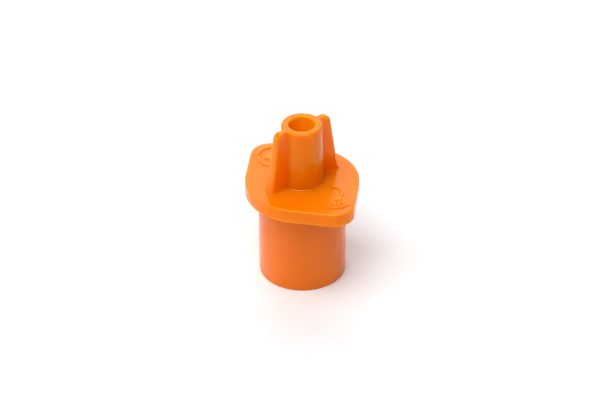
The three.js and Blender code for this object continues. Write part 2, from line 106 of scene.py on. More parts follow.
SKIRT_IN_R = 6.35
SKIRT_EDGE = 0.2
SKIRT_LEAD_IN = 0.25
FLANGE_TOP_Z = COLLAR_TOP_Z + 3.6
FLANGE_MID_R = CAP_HIGH.y
LOBE_R = 4.99
LOBE_X = CAP_HIGH.x - LOBE_R
FLANGE_EDGE_TOP = 0.4
FLANGE_EDGE_LOW = 0.3
SPOUT_R = 5.05
SPOUT_BASE_R = 5.3
SPOUT_FILLET = 0.5
TUBE_SOCKET_R = 3.27
TUBE_STOP_Z = 25.6
TUBE_STOP_R = 1.6
TUBE_SOCKET_DRAFT = 0.04  # how much narrower the bore is at its shoulder
TUBE_SOCKET_MIDDLE_Z = 34.0
RIM_EDGE_R = 0.55
RIM_LEAD_IN = 0.35
WING_TOP_Y = 7.9
WING_BASE_Y = 10.1
WING_TOP_HALF = 0.975
WING_BASE_HALF = 1.4
WING_CORNER_R = 1.6
WING_END_R = 0.6
WING_END_LEAST_R = 0.06
WING_ROOT_FILLET = 0.3
WING_ROOT_LEAST_FILLET = 0.12

# ---- mesh building ----
SAME_POINT = 1e-7
LEAST_RISE = 1e-12
SHARP_ANGLE = math.radians(40)


class Skin:
    """A mesh put together from rings of points, in millimetres."""

    def __init__(self):
        self.points = []
        self.faces = []

    def ring(self, points):
        first = len(self.points)
        self.points.extend(tuple(p) for p in points)
        return list(range(first, len(self.points)))

    def bridge(self, low, high):
        count = len(low)
        for i in range(count):
            j = (i + 1) % count
            self.faces.append((low[i], low[j], high[j], high[i]))

    def stack(self, rings):
        """Join rings of points one after another; gives back the first and the last."""
        made = [self.ring(points) for points in rings]
        for low, high in zip(made, made[1:]):
            self.bridge(low, high)
        return made[0], made[-1]

    def chain(self, profile, count, centre=(0.0, 0.0)):
        """Rings along a profile of (radius, height) pairs; gives back the first and the last."""
        return self.stack([circle(r, z, count, centre) for r, z in profile])

    def fill(self, outer, holes=(), up=True):
        """Triangles over a flat region at one height, between an outline and its holes."""
        loops = [outer, *holes]
        members = [index for loop in loops for index in loop]
        flat = [Vector(self.points[index][:2]) for index in members]
        edges = []
        first = 0
        for loop in loops:
            count = len(loop)
            edges.extend((first + i, first + (i + 1) % count) for i in range(count))
            first += count
        _, _, triangles, origins, _, _ = delaunay_2d_cdt(flat, edges, [], 0, SAME_POINT)
        place = [members[source[0]] for source in origins]
        outline = np.array([self.points[index][:2] for index in outer])
        hollows = [np.array([self.points[index][:2] for index in loop]) for loop in holes]
        for triangle in triangles:
            corners = [place[i] for i in triangle]
            middle = np.mean([self.points[c][:2] for c in corners], axis=0)
            if not inside(outline, middle) or any(inside(hollow, middle) for hollow in hollows):
                continue
            a, b, c = (Vector(self.points[c][:2]) for c in corners)
            turn = (b - a).cross(c - a)
            if (turn > 0) != up:
                corners.reverse()
            self.faces.append(tuple(corners))

    def object(self, name):
        """The finished mesh as an object in metres, with its faces outward."""
        mesh = bpy.data.meshes.new(name)
        mesh.from_pydata([tuple(c * MM for c in p) for p in self.points], [], self.faces)
        mesh.validate()
        whole = bmesh.new()
        whole.from_mesh(mesh)
        bmesh.ops.recalc_face_normals(whole, faces=whole.faces)
        whole.to_mesh(mesh)
        whole.free()
        piece = bpy.data.objects.new(name, mesh)
        bpy.context.scene.collection.objects.link(piece)
        return piece


def inside(polygon, point):
    """True where a point lies in a polygon."""
    x, y = point
    x0, y0 = polygon[:, 0], polygon[:, 1]
    x1, y1 = np.roll(x0, -1), np.roll(y0, -1)
    crosses = (y0 > y) != (y1 > y)
    rise = np.where(y1 == y0, LEAST_RISE, y1 - y0)
    return bool(np.count_nonzero(crosses & (x < (x1 - x0) * (y - y0) / rise + x0)) % 2)


def heading(angle):
    return Vector((math.cos(angle), math.sin(angle)))


def polar(radius, angle, centre=(0.0, 0.0)):
    """The point at a distance and an angle from a centre."""
    return (centre[0] + radius * math.cos(angle), centre[1] + radius * math.sin(angle))


def circle(radius, z, count, centre=(0.0, 0.0)):
    """Points round a level circle, starting on +X."""
    return [(*polar(radius, 2 * math.pi * i / count, centre), z) for i in range(count)]


def quarter(count):
    """Cosine and sine over a quarter turn, ends included."""
    angles = [0.5 * math.pi * i / count for i in range(count + 1)]
    return [(math.cos(a), math.sin(a)) for a in angles]


def finish_normals(piece):
    """Smooth shading weighted by face area, so that flats stay flat beside small rounds."""
    piece.data.shade_smooth()
    piece.data.set_sharp_from_angle(angle=SHARP_ANGLE)
    weighted = piece.modifiers.new("weighted_normals", "WEIGHTED_NORMAL")
    weighted.keep_sharp = True
    weighted.weight = 100
    return piece


# ---- helical threads ----


def smooth_step(value):
    """0 to 1 with level ends, as value goes from 0 to 1."""
    value = min(max(value, 0.0), 1.0)
    return value * value * (3 - 2 * value)


def thread_radius(angle, z, root, crest, half_base, half_crest):
    """Radius of the three-start thread's flank at an angle and height."""
    pitch = 2 * math.pi / THREAD_STARTS
    off = (angle - 2 * math.pi * z / THREAD_LEAD) % pitch
    off = min(off, pitch - off)
    return root + (crest - root) * smooth_step((half_base - off) / (half_base - half_crest))


def thread_ring(count, z, root, crest, half_base, half_crest, share):
    """One ring across the thread; share says how much of the ridges stands out."""
    points = []
    for i in range(count):
        angle = 2 * math.pi * i / count
        full = thread_radius(angle, z, root, crest, half_base, half_crest)
        radius = root + (full - root) * share
        points.append((*polar(radius, angle), z))
    return points


# ---- winged cap ----
BORE_COUNT = 120  # points round the bore
SKIRT_COUNT = 144  # points round the skirt


def stem_outline(z, radius, half, reach, end_r, root_r):
    """The spout and its two wings cut across at one height, starting on +X."""
    centre_y = math.sqrt((radius + root_r) ** 2 - (half + root_r) ** 2)
    touch = math.atan2(centre_y, half + root_r)
    arc_steps, root_steps, side_steps, end_steps = 20, 6, 10, 6
    quadrant = [polar(radius, touch * i / arc_steps) for i in range(arc_steps)]
    for i in range(root_steps + 1):
        a = touch + math.pi - touch * i / root_steps
        quadrant.append(polar(root_r, a, (half + root_r, centre_y)))
    side_low, side_high = centre_y, reach - end_r
    for i in range(1, side_steps):
        quadrant.append((half, side_low + (side_high - side_low) * i / side_steps))
    for i in range(end_steps + 1):
        quadrant.append(polar(end_r, 0.5 * math.pi * i / end_steps, (half - end_r, side_high)))
    half_turn = quadrant + [(0.0, reach)] + [(-x, y) for x, y in reversed(quadrant)]
    outline = half_turn[:-1] + [(-x, -y) for x, y in half_turn[:-1]]
    return [(x, y, z) for x, y in outline]


def stem_rings():
    """Rings from the fillet on the flange up to the flat of the rim."""
    rings = []

    def level(z, grow=0.0, corner=0.0):
        share = (TOTAL_H - z) / (TOTAL_H - FLANGE_TOP_Z)
        half = WING_TOP_HALF + (WING_BASE_HALF - WING_TOP_HALF) * share
        reach = WING_TOP_Y + (WING_BASE_Y - WING_TOP_Y) * share
        reach += max(grow, 0.0) - corner
        end_r = max(WING_END_R + min(grow, 0.0), WING_END_LEAST_R)
        root_r = max(WING_ROOT_FILLET - grow, WING_ROOT_LEAST_FILLET)
        radius = SPOUT_R + (SPOUT_BASE_R - SPOUT_R) * share
        rings.append(stem_outline(z, radius + grow, half + grow, reach, end_r, root_r))

    fillet_steps, side_steps, corner_steps, rim_steps = 6, 14, 10, 7
    for c, s in quarter(fillet_steps):
        level(FLANGE_TOP_Z + SPOUT_FILLET * (1 - c), grow=SPOUT_FILLET * (1 - s))
    straight_low = FLANGE_TOP_Z + SPOUT_FILLET
    straight_high = TOTAL_H - WING_CORNER_R
    for i in range(1, side_steps):
        level(straight_low + (straight_high - straight_low) * i / side_steps)
    corner_rises = [straight_high + WING_CORNER_R * s for _, s in quarter(corner_steps)]
    rim_rises = [TOTAL_H - RIM_EDGE_R + RIM_EDGE_R * s for _, s in quarter(rim_steps)]
    for z in sorted({round(rise, 5) for rise in corner_rises + rim_rises}):
        up = min((z - straight_high) / WING_CORNER_R, 1.0)
        corner = WING_CORNER_R * (1 - math.sqrt(1 - up * up))
        edge = max(z - (TOTAL_H - RIM_EDGE_R), 0.0) / RIM_EDGE_R
        level(z, grow=-RIM_EDGE_R * (1 - math.sqrt(max(1 - edge * edge, 0.0))), corner=corner)
    return rings


def flange_outline(z, inset):
    """Two lobes and the wide middle, joined by straight sides that touch all three circles."""
    middle_r, lobe_r = FLANGE_MID_R - inset, LOBE_R - inset
    touch = math.acos((FLANGE_MID_R - LOBE_R) / LOBE_X)
    points = []

    def arc(centre_x, radius, start, end, steps):
        for i in range(steps + 1):
            a = start + (end - start) * i / steps
            points.append((*polar(radius, a, (centre_x, 0.0)), z))

    lobe_steps, middle_steps = 32, 40
    arc(LOBE_X, lobe_r, -touch, touch, lobe_steps)
    arc(0.0, middle_r, touch, math.pi - touch, middle_steps)
    arc(-LOBE_X, lobe_r, math.pi - touch, math.pi + touch, lobe_steps)
    arc(0.0, middle_r, math.pi + touch, 2 * math.pi - touch, middle_steps)
    return points


def grown(outline, amount):
    """A closed outline moved along its own normals, outward where amount is above 0."""
    flat = np.array([p[:2] for p in outline])
    along = np.roll(flat, -1, axis=0) - np.roll(flat, 1, axis=0)
    normal = np.column_stack([along[:, 1], -along[:, 0]])
    normal /= np.linalg.norm(normal, axis=1)[:, None]
    x0, y0 = flat[:, 0], flat[:, 1]
    x1, y1 = np.roll(x0, -1), np.roll(y0, -1)
    if np.sum(x0 * y1 - x1 * y0) < 0:
        normal = -normal
    return [tuple(p) for p in flat + normal * amount]


# Raised marks on the flange: a drop in an open ring, a turn arrow, and slanted bars with a line.
EMBOSS = 0.4
MARK_LINE = 0.72
MARK_DRAFT = 0.06  # how much wider a mark is at its foot
MARK_UPRIGHT = 0.2  # share of a mark's height below its rounded edge
LINE_ROUND = 0.33
ARROW_ROUND = 0.16
DROP_ROUND = 0.08
RING_CENTRE = (-11.6, 0.0)
RING_R = 4.1
RING_GAP = math.radians(20)
RING_TURN = math.radians(50)
DROP_CENTRE = (-12.2, -0.5)
DROP_BELLY_R = 1.3
DROP_BELLY = 0.5  # how far the round belly's centre lies below the drop's own
DROP_TIP = 2.2  # how far the tip lies above it
DROP_BEND = (0.55 * DROP_BELLY_R, 0.9)  # control point of the curved side, from the drop's centre
DROP_BELLY_START = math.radians(-205)
DROP_BELLY_SWEEP = math.radians(230)
ARROW_CENTRE = (9.3, 1.9)
ARROW_R = 2.75
ARROW_HEAD_HALF = 1.7 * MARK_LINE
ARROW_HEAD_LENGTH = 2.6 * MARK_LINE
ARROW_START = math.radians(15)
ARROW_END = math.radians(140)
TALLY_CENTRE = (11.5, 1.6)
TALLY_R = 2.65
TALLY_ANGLES = [math.radians(degrees) for degrees in (-60, -37, -14, 9)]
TALLY_SLANT = math.radians(-37)
TALLY_LENGTH = 1.9
TALLY_LINE_R = 4.2
TALLY_LINE_FROM = math.radians(-57)
TALLY_LINE_TO = math.radians(12)


def round_bar(centre, length, width, turn):
    """Outline of a bar with round ends, lying along X before it is turned."""
    half, radius, steps = length / 2 - width / 2, width / 2, 6
    points = []
    for side in (1, -1):
        for i in range(steps + 1):
            a = -0.5 * math.pi + math.pi * i / steps
            x, y = polar(radius, a, (half, 0.0))
            points.append((side * x, side * y))
    c, s = math.cos(turn), math.sin(turn)
    return [(centre[0] + x * c - y * s, centre[1] + x * s + y * c) for x, y in points]


def curve(start, bend, end, steps):
    """Points of a quadratic curve between its ends, which are left out."""
    shares = [i / steps for i in range(1, steps)]
    return [tuple((1 - t) ** 2 * start + 2 * t * (1 - t) * bend + t * t * end) for t in shares]


def drop_outline():
    """A round belly under a pointed tip."""
    cx, cy = DROP_CENTRE
    belly_steps, side_steps = 20, 10
    points = []
    for i in range(belly_steps + 1):
        a = DROP_BELLY_START + DROP_BELLY_SWEEP * i / belly_steps
        points.append(polar(DROP_BELLY_R, a, (cx, cy - DROP_BELLY)))
    left, right = Vector(points[0]), Vector(points[-1])
    tip = Vector((cx, cy + DROP_TIP))
    bend_x, bend_y = DROP_BEND
    points += curve(right, Vector((cx + bend_x, cy + bend_y)), tip, side_steps)
    points.append(tuple(tip))
    points += curve(tip, Vector((cx - bend_x, cy + bend_y)), left, side_steps)
    return points


def arc_line(centre, radius, start, end, steps=24, round_start=True):
    """Outline of a line along an arc, with a round end, and a round start where asked."""
    half = MARK_LINE / 2

    def edge(r, a, b):
        return [polar(r, a + (b - a) * i / steps, centre) for i in range(steps + 1)]

    def cap(a, first):
        turns = (math.radians(d) for d in range(30, 180, 30))
        return [polar(half, first + t, polar(radius, a, centre)) for t in turns]

    points = edge(radius + half, start, end) + cap(end, end) + edge(radius - half, end, start)
    if round_start:
        points += cap(start, start + math.pi)
    return points


def arrow_outline():
    """A curved line with a head at its start that points clockwise."""
    across = heading(ARROW_START)
    outer = Vector(ARROW_CENTRE) + (ARROW_R + ARROW_HEAD_HALF) * across
    inner = Vector(ARROW_CENTRE) + (ARROW_R - ARROW_HEAD_HALF) * across
    tip = (inner + outer) / 2 + ARROW_HEAD_LENGTH * Vector((across.y, -across.x))
    points = arc_line(ARROW_CENTRE, ARROW_R, ARROW_START, ARROW_END, round_start=False)
    return points + [tuple(inner), tuple(tip), tuple(outer)]


def mark_outlines():
    """Each mark as its outline and how far its top edge is rounded."""
    marks = [(drop_outline(), DROP_ROUND)]
    for turn in (RING_TURN, RING_TURN + math.pi):
        start, end = turn + RING_GAP / 2, turn + math.pi - RING_GAP / 2
        marks.append((arc_line(RING_CENTRE, RING_R, start, end, steps=36), LINE_ROUND))
    marks.append((arrow_outline(), ARROW_ROUND))
    for a in TALLY_ANGLES:
        centre = polar(TALLY_R, a, TALLY_CENTRE)
        marks.append((round_bar(centre, TALLY_LENGTH, MARK_LINE, TALLY_SLANT), LINE_ROUND))
    line = arc_line(TALLY_CENTRE, TALLY_LINE_R, TALLY_LINE_FROM, TALLY_LINE_TO)
    return marks + [(line, LINE_ROUND)]


def raise_mark(skin, outline, rounding):
    """Walls and top of one mark; gives back the loop that it leaves in the flat round it."""
    levels = [(0.0, MARK_DRAFT)]
    for c, s in quarter(5):
        levels.append((MARK_UPRIGHT + (1 - MARK_UPRIGHT) * s, -rounding * (1 - c)))
    rings = []
    for share, offset in levels:
        z = FLANGE_TOP_Z + EMBOSS * share
        rings.append([(*p, z) for p in grown(outline, offset)])
    foot, top = skin.stack(rings)
    skin.fill(top)
    return foot


def bore_profile():
    """The tube socket from its lead-in down to the shoulder, and the outlet hole below it."""
    r, lead = TUBE_SOCKET_R, RIM_LEAD_IN
    profile = [(r + lead * (1 - s), TOTAL_H - lead * (1 - c)) for c, s in quarter(5)]
    low_r = TUBE_SOCKET_R - TUBE_SOCKET_DRAFT
    ceiling_edge = 0.1
    return profile + [
        (TUBE_SOCKET_R - TUBE_SOCKET_DRAFT / 2, TUBE_SOCKET_MIDDLE_Z),
        (low_r, TUBE_STOP_Z + SKIRT_EDGE),
        (low_r - SKIRT_EDGE, TUBE_STOP_Z),
        (TUBE_STOP_R + CORNER, TUBE_STOP_Z),
        (TUBE_STOP_R, TUBE_STOP_Z - CORNER),
        (TUBE_STOP_R, CEILING_Z + ceiling_edge),
        (TUBE_STOP_R + ceiling_edge, CEILING_Z),
    ]


def skirt_rings():
    """The inside of the skirt from its ceiling down, and its threaded outside up to the flange."""
    profile = [
        (SKIRT_IN_R - SKIRT_EDGE, CEILING_Z),
        (SKIRT_IN_R, CEILING_Z - SKIRT_EDGE),
        (SKIRT_IN_R, SKIRT_BOTTOM_Z + SKIRT_LEAD_IN),
        (SKIRT_IN_R + SKIRT_LEAD_IN, SKIRT_BOTTOM_Z),
        (NECK_R - SKIRT_EDGE, SKIRT_BOTTOM_Z),
        (NECK_R, SKIRT_BOTTOM_Z + SKIRT_EDGE),
    ]
    rings = [circle(r, z, SKIRT_COUNT) for r, z in profile]
    low, high, layers = SKIRT_BOTTOM_Z + RIDGE_START, SKIRT_BOTTOM_Z + RIDGE_END, 26
    for i in range(layers + 1):
        z = low + (high - low) * i / layers
        share = smooth_step(min(z - low, high - z) / RIDGE_RUN_OUT)
        rings.append(thread_ring(SKIRT_COUNT, z, NECK_R, THREAD_CREST_R,
                                 RIDGE_HALF_BASE, RIDGE_HALF_CREST, share))
    neck = [(NECK_R, COLLAR_TOP_Z - CORNER), (NECK_R + CORNER, COLLAR_TOP_Z)]
    return rings + [circle(r, z, SKIRT_COUNT) for r, z in neck]


def flange_rings():
    """The flange's rounded lower edge, its side and its rounded upper edge."""
    low, high = FLANGE_EDGE_LOW, FLANGE_EDGE_TOP
    levels = [(COLLAR_TOP_Z + low * (1 - c), low * (1 - s)) for c, s in quarter(4)]
    levels += [(FLANGE_TOP_Z - high * (1 - s), high * (1 - c)) for c, s in quarter(6)]
    return [flange_outline(z, inset) for z, inset in levels]


def winged_cap():
    skin = Skin()
    stem_foot, stem_top = skin.stack(stem_rings())
    mouth, ceiling_hole = skin.chain(bore_profile(), BORE_COUNT)
    skin.fill(stem_top, [mouth])
    ceiling_edge, neck = skin.stack(skirt_rings())
    skin.fill(ceiling_edge, [ceiling_hole], up=False)
    flange_under, flange_top = skin.stack(flange_rings())
    skin.fill(flange_under, [neck], up=False)
    mark_feet = [raise_mark(skin, outline, rounding) for outline, rounding in mark_outlines()]
    skin.fill(flange_top, [stem_foot, *mark_feet])
    return finish_normals(skin.object("winged_cap_moulding"))


# ---- collar ----
COLLAR_COUNT = 192  # points round the collar


def collar_outside():
    """From the spigot's lower edge up the drafted wall, over the top and down to the O-ring's seat."""
    foot = COLLAR_EDGE_R
    profile = [(SPIGOT_R - foot * (1 - s), foot * (1 - c)) for c, s in quarter(5)]
    wall_steps = 12
    for i in range(1, wall_steps):
        share = i / wall_steps
        profile.append((SPIGOT_R + (COLLAR_TOP_R - SPIGOT_R) * share, COLLAR_TOP_Z * share))
    top_r, top_z, edge, lead = COLLAR_TOP_R, COLLAR_TOP_Z, COLLAR_TOP_EDGE_R, O_RING_LEAD_IN
    profile += [(top_r - edge * (1 - c), top_z - edge * (1 - s)) for c, s in quarter(4)]
    profile += [(O_RING_SEAT_R + lead * (1 - s), top_z - lead * (1 - c)) for c, s in quarter(3)]
    seat_z = O_RING_SEAT_Z
    return profile + [(O_RING_SEAT_R, seat_z + CORNER), (O_RING_SEAT_R - CORNER, seat_z)]


def collar_groove():
    """Rings down the female thread, which is the male one grown by the gap."""
    root, crest = THREAD_ROOT_R + THREAD_GAP, THREAD_CREST_R + THREAD_GAP
    flank = THREAD_GAP / THREAD_ROOT_R + 2 * math.pi * THREAD_GAP / THREAD_LEAD
    half_base, half_crest = RIDGE_HALF_BASE + flank, RIDGE_HALF_CREST + flank
    layers = 34
    rings = []
    for i in range(layers + 1):
        z = O_RING_SEAT_Z + (THREAD_POCKET_Z - O_RING_SEAT_Z) * i / layers
        share = smooth_step((z - THREAD_POCKET_Z) / GROOVE_RUN_OUT)
        rings.append(thread_ring(COLLAR_COUNT, z, root, crest, half_base, half_crest, share))
    return rings


def collar_inside():
    """The cartridge's pocket, the basket's ledge and the inlet bore, from the top down."""
    edge = 0.1
    profile = [
        (POCKET_R, THREAD_POCKET_Z - edge),
        (POCKET_R, LEDGE_Z),
        (LEDGE_R + CORNER, LEDGE_Z),
        (LEDGE_R, LEDGE_Z - CORNER),
        (LEDGE_R, LEDGE_Z - LEDGE_THICK + edge),
        (LEDGE_R + edge, LEDGE_Z - LEDGE_THICK),
        (INLET_R - CORNER, INLET_TOP_Z + edge),
        (INLET_R, INLET_TOP_Z - 2 * edge),
        (INLET_R, INLET_LEAD_IN),
    ]
    lead = INLET_LEAD_IN
    return profile + [(INLET_R + lead * (1 - c), lead * (1 - s)) for c, s in quarter(4)[1:]]


def base_collar():
    outside = [circle(r, z, COLLAR_COUNT) for r, z in collar_outside()]
    inside_rings = [circle(r, z, COLLAR_COUNT) for r, z in collar_inside()]
    skin = Skin()
    first, last = skin.stack(outside + collar_groove() + inside_rings)
    skin.bridge(last, first)
    return finish_normals(skin.object("base_collar_moulding"))


# ---- seals and metering cartridge ----
INNER_COUNT = 96  # points round an inner piece
O_RING_COUNT = 144
HOLE_COUNT = 28
HOLE_LEAD_IN = 0.08
SOFT_EDGE = 0.12  # how far a moulded corner is rounded
SIDE_SHARE = 0.45  # most of a side that one rounded corner may take
CARTRIDGE_R = SEAT_HIGH.x
CHAMBER_R = 5.2
CHAMBER_FLOOR_Z = 15.0
PAD_Z = DISC_LOW.z
PAD_IN_R = 1.9
PAD_OUT_R = 2.6
CARRIER_FLANGE_Z = SEAL_LOW.z
PORT_R = 0.6
PORT_CIRCLE_R = 3.9
PORT_COUNT = 6
SEAT_LIP_R = 1.7
SEAT_LIP_ROOT_R = 2.0
SEAT_CEILING_Z = 18.6
SEAT_RIM_Z = CARRIER_HIGH.z
OUTLET_R = 0.7


def softened(corners, radius=SOFT_EDGE, closed=True):
    """A profile of (radius, height) corners with each corner rounded."""
    points = []
    last = len(corners) - 1
    steps = 4
    for i, corner in enumerate(corners):
        here = Vector(corner)
        if not closed and i in (0, last):
            points.append(tuple(here))
            continue
        before = Vector(corners[i - 1]) - here
        after = Vector(corners[(i + 1) % len(corners)]) - here
        start = here + before.normalized() * min(radius, SIDE_SHARE * before.length)
        end = here + after.normalized() * min(radius, SIDE_SHARE * after.length)
        for k in range(steps + 1):
            t = k / steps
            points.append(tuple((1 - t) ** 2 * start + 2 * t * (1 - t) * here + t * t * end))
    return points


def turned_ring(name, corners):
    """A ring turned about Z from a closed profile."""
    skin = Skin()
    first, last = skin.chain(softened(corners), INNER_COUNT)
    skin.bridge(last, first)
    return finish_normals(skin.object(name))


def cap_o_ring():
    """A round ring with a thin line of flash inside and outside."""
    wire_r = (O_RING_HIGH.z - O_RING_LOW.z) / 2
    middle_r = O_RING_HIGH.x - wire_r
    middle_z = O_RING_LOW.z + wire_r
    sides, flash, flash_width = 24, 0.035, 0.25
    skin = Skin()
    profile = []
    for a in (2 * math.pi * i / sides for i in range(sides)):
        seam = flash * max(0.0, 1 - abs(math.sin(a)) / flash_width)
        profile.append((middle_r + (wire_r - flash + seam) * math.cos(a),
                        middle_z + wire_r * math.sin(a)))
    first, last = skin.chain(profile, O_RING_COUNT)
    skin.bridge(last, first)
    return finish_normals(skin.object("cap_o_ring_rubber"))


def carrier_seal():
    """A square ring with a groove round its lower and upper face."""
    side_gap, half_width, depth = 0.2, 0.2, 0.12
    inner, outer = CARTRIDGE_R + side_gap, SEAL_HIGH.x
    low, high, middle = SEAL_LOW.z, SEAL_HIGH.z, (inner + outer) / 2
    return turned_ring("carrier_seal_rubber", [
        (inner, low), (middle - half_width, low), (middle, low + depth), (middle + half_width, low),
        (outer, low), (outer, high), (middle + half_width, high), (middle, high - depth),
        (middle - half_width, high), (inner, high)])


def port_centres(count, circle_r, half_step=False):
    """Centres of evenly spaced holes on a circle."""
    shift = 0.5 if half_step else 0.0
    return [polar(circle_r, 2 * math.pi * (i + shift) / count) for i in range(count)]


def bored(skin, centre, radius, high, low):
    """A hole's wall from its upper mouth down to its lower one, each with a small lead-in."""
    lead = HOLE_LEAD_IN
    profile = [(radius + lead, high), (radius, high - lead), (radius, low + lead), (radius + lead, low)]
    return skin.chain(profile, HOLE_COUNT, centre)


def bored_all(skin, centres, radius, high, low):
    """Equal holes; gives back their upper mouths and their lower ones."""
    return zip(*[bored(skin, centre, radius, high, low) for centre in centres])


def diaphragm_carrier():
    """A flanged cup with ports in its floor round a raised ring for the diaphragm."""
    skin = Skin()
    low, floor_z = CARRIER_LOW.z, CHAMBER_FLOOR_Z
    under_inset, floor_inset, pad_inset, pad_edge = 0.5, 0.3, 0.1, 0.07
    corners = [
        (CARRIER_HIGH.x - under_inset, low), (CARRIER_HIGH.x, low), (CARRIER_HIGH.x, CARRIER_FLANGE_Z),
        (CARTRIDGE_R, CARRIER_FLANGE_Z), (CARTRIDGE_R, SEAT_RIM_Z), (CHAMBER_R, SEAT_RIM_Z),
        (CHAMBER_R, floor_z), (CHAMBER_R - floor_inset, floor_z)]
    under, floor_edge = skin.chain(softened(corners, closed=False), INNER_COUNT)
    pad = [(PAD_OUT_R + pad_inset, floor_z), (PAD_OUT_R, floor_z), (PAD_OUT_R, PAD_Z),
           (PAD_IN_R, PAD_Z), (PAD_IN_R, floor_z), (PAD_IN_R - pad_inset, floor_z)]
    pad_out, pad_in = skin.chain(softened(pad, pad_edge, closed=False), INNER_COUNT)
    ports = port_centres(PORT_COUNT, PORT_CIRCLE_R)
    tops, bottoms = bored_all(skin, ports, PORT_R, floor_z, low)
    skin.fill(floor_edge, [pad_out, *tops])
    skin.fill(pad_in)
    skin.fill(under, bottoms, up=False)
    return finish_normals(skin.object("diaphragm_carrier_cup"))


def diaphragm():
    """A disc with a slightly thicker rim."""
    skin = Skin()
    low, high, radius = DISC_LOW.z, DISC_HIGH.z, DISC_HIGH.x
    middle_r, dish, dish_edge = 0.8, 0.06, 0.2
    web_r, rim_r = radius - 1.3, radius - 0.9
    corners = [
        (middle_r, low + dish), (web_r, low + dish), (rim_r, low), (radius, low),
        (radius, high), (rim_r, high), (web_r, high - dish), (middle_r, high - dish)]
    bottom, top = skin.chain(softened(corners, dish_edge, closed=False), INNER_COUNT)
    skin.fill(bottom, up=False)
    skin.fill(top)
    return finish_normals(skin.object("diaphragm_silicone"))


def metering_seat():
    """A disc with the outlet lip under it and the feed hole beside it."""
    skin = Skin()
    top_z, lip_z = SEAT_HIGH.z, SEAT_LOW.z
    inset, top_inset = 0.3, 0.4
    outside = [
        (CHAMBER_R - inset, SEAT_CEILING_Z), (CHAMBER_R, SEAT_CEILING_Z), (CHAMBER_R, SEAT_RIM_Z),
        (CARTRIDGE_R, SEAT_RIM_Z), (CARTRIDGE_R, top_z), (CARTRIDGE_R - top_inset, top_z)]
    ceiling_out, top_out = skin.chain(softened(outside, closed=False), INNER_COUNT)
    lip = [(OUTLET_R + inset, top_z), (OUTLET_R, top_z), (OUTLET_R, lip_z), (SEAT_LIP_R, lip_z),
           (SEAT_LIP_ROOT_R, SEAT_CEILING_Z), (SEAT_LIP_ROOT_R + inset, SEAT_CEILING_Z)]
    top_in, ceiling_in = skin.chain(softened(lip, closed=False), INNER_COUNT)
    feed_top, feed_low = bored(skin, (0.0, -PORT_CIRCLE_R), PORT_R, top_z, SEAT_CEILING_Z)
    skin.fill(top_out, [top_in, feed_top])
    skin.fill(ceiling_out, [ceiling_in, feed_low], up=False)
    return finish_normals(skin.object("metering_seat_disc"))


# ---- labyrinth ----
MAZE_DEPTH = 1.0
MAZE_IN_R = 2.6
MAZE_OUT_R = 4.9
MAZE_SLOT = 0.6
MAZE_SLOTS = 22
MAZE_EDGE = 0.05
POOL_R = 0.56  # the round end of the channel
POOL = Vector((0.0, -PORT_CIRCLE_R))
FEED_R = 0.45  # the hole in it, down to the seat


def maze_line():
    """Middle line of the channel, from the edge of the disc to its round end."""
    step = 2 * math.pi / (MAZE_SLOTS + 2)
    inner, outer = MAZE_IN_R + MAZE_SLOT / 2, MAZE_OUT_R - MAZE_SLOT / 2
    line = []
    for i in range(MAZE_SLOTS):
        a = -math.pi / 2 + step * (i + 1)
        far = CARTRIDGE_R if i == 0 else outer
        if i == MAZE_SLOTS - 1:
            far = PORT_CIRCLE_R
        ends = [far, inner] if i % 2 == 0 else [inner, far]
        line += [Vector(polar(r, a)) for r in ends]
    along = (POOL - line[-1]).normalized()
    line.append(POOL - along * math.sqrt(POOL_R ** 2 - (MAZE_SLOT / 2) ** 2))
    return line


def sides_of(line, half):
    """The two sides of a channel of even width along a line of straight runs."""
    left, right = [], []
    for i, here in enumerate(line):
        ahead = (line[min(i + 1, len(line) - 1)] - line[min(i, len(line) - 2)]).normalized()
        behind = (line[max(i, 1)] - line[max(i - 1, 0)]).normalized()
        across = Vector((-ahead.y, ahead.x)) + Vector((-behind.y, behind.x))
        across *= half / (across.length_squared / 2)
        left.append(here + across)
        right.append(here - across)
    return left, right


def maze_outline():
    """The channel's own outline, and the disc's rim from one side of its mouth to the other."""
    left, right = sides_of(maze_line(), MAZE_SLOT / 2)
    mouth = math.atan2(*reversed(maze_line()[0]))
    half_mouth = math.asin(MAZE_SLOT / 2 / CARTRIDGE_R)
    left[0] = heading(mouth - half_mouth) * CARTRIDGE_R
    right[0] = heading(mouth + half_mouth) * CARTRIDGE_R
    start = math.atan2(*reversed(left[-1] - POOL))
    sweep = 2 * math.pi - 2 * math.asin(MAZE_SLOT / 2 / POOL_R)
    steps = 24
    pool_edge = [POOL + POOL_R * heading(start - sweep * i / steps) for i in range(1, steps)]
    channel = left + pool_edge + right[::-1]
    span = 2 * math.pi - 2 * half_mouth
    rim = []
    for i in range(1, INNER_COUNT):
        rim.append(Vector(polar(CARTRIDGE_R, mouth + half_mouth + span * i / INNER_COUNT)))
    return channel, rim


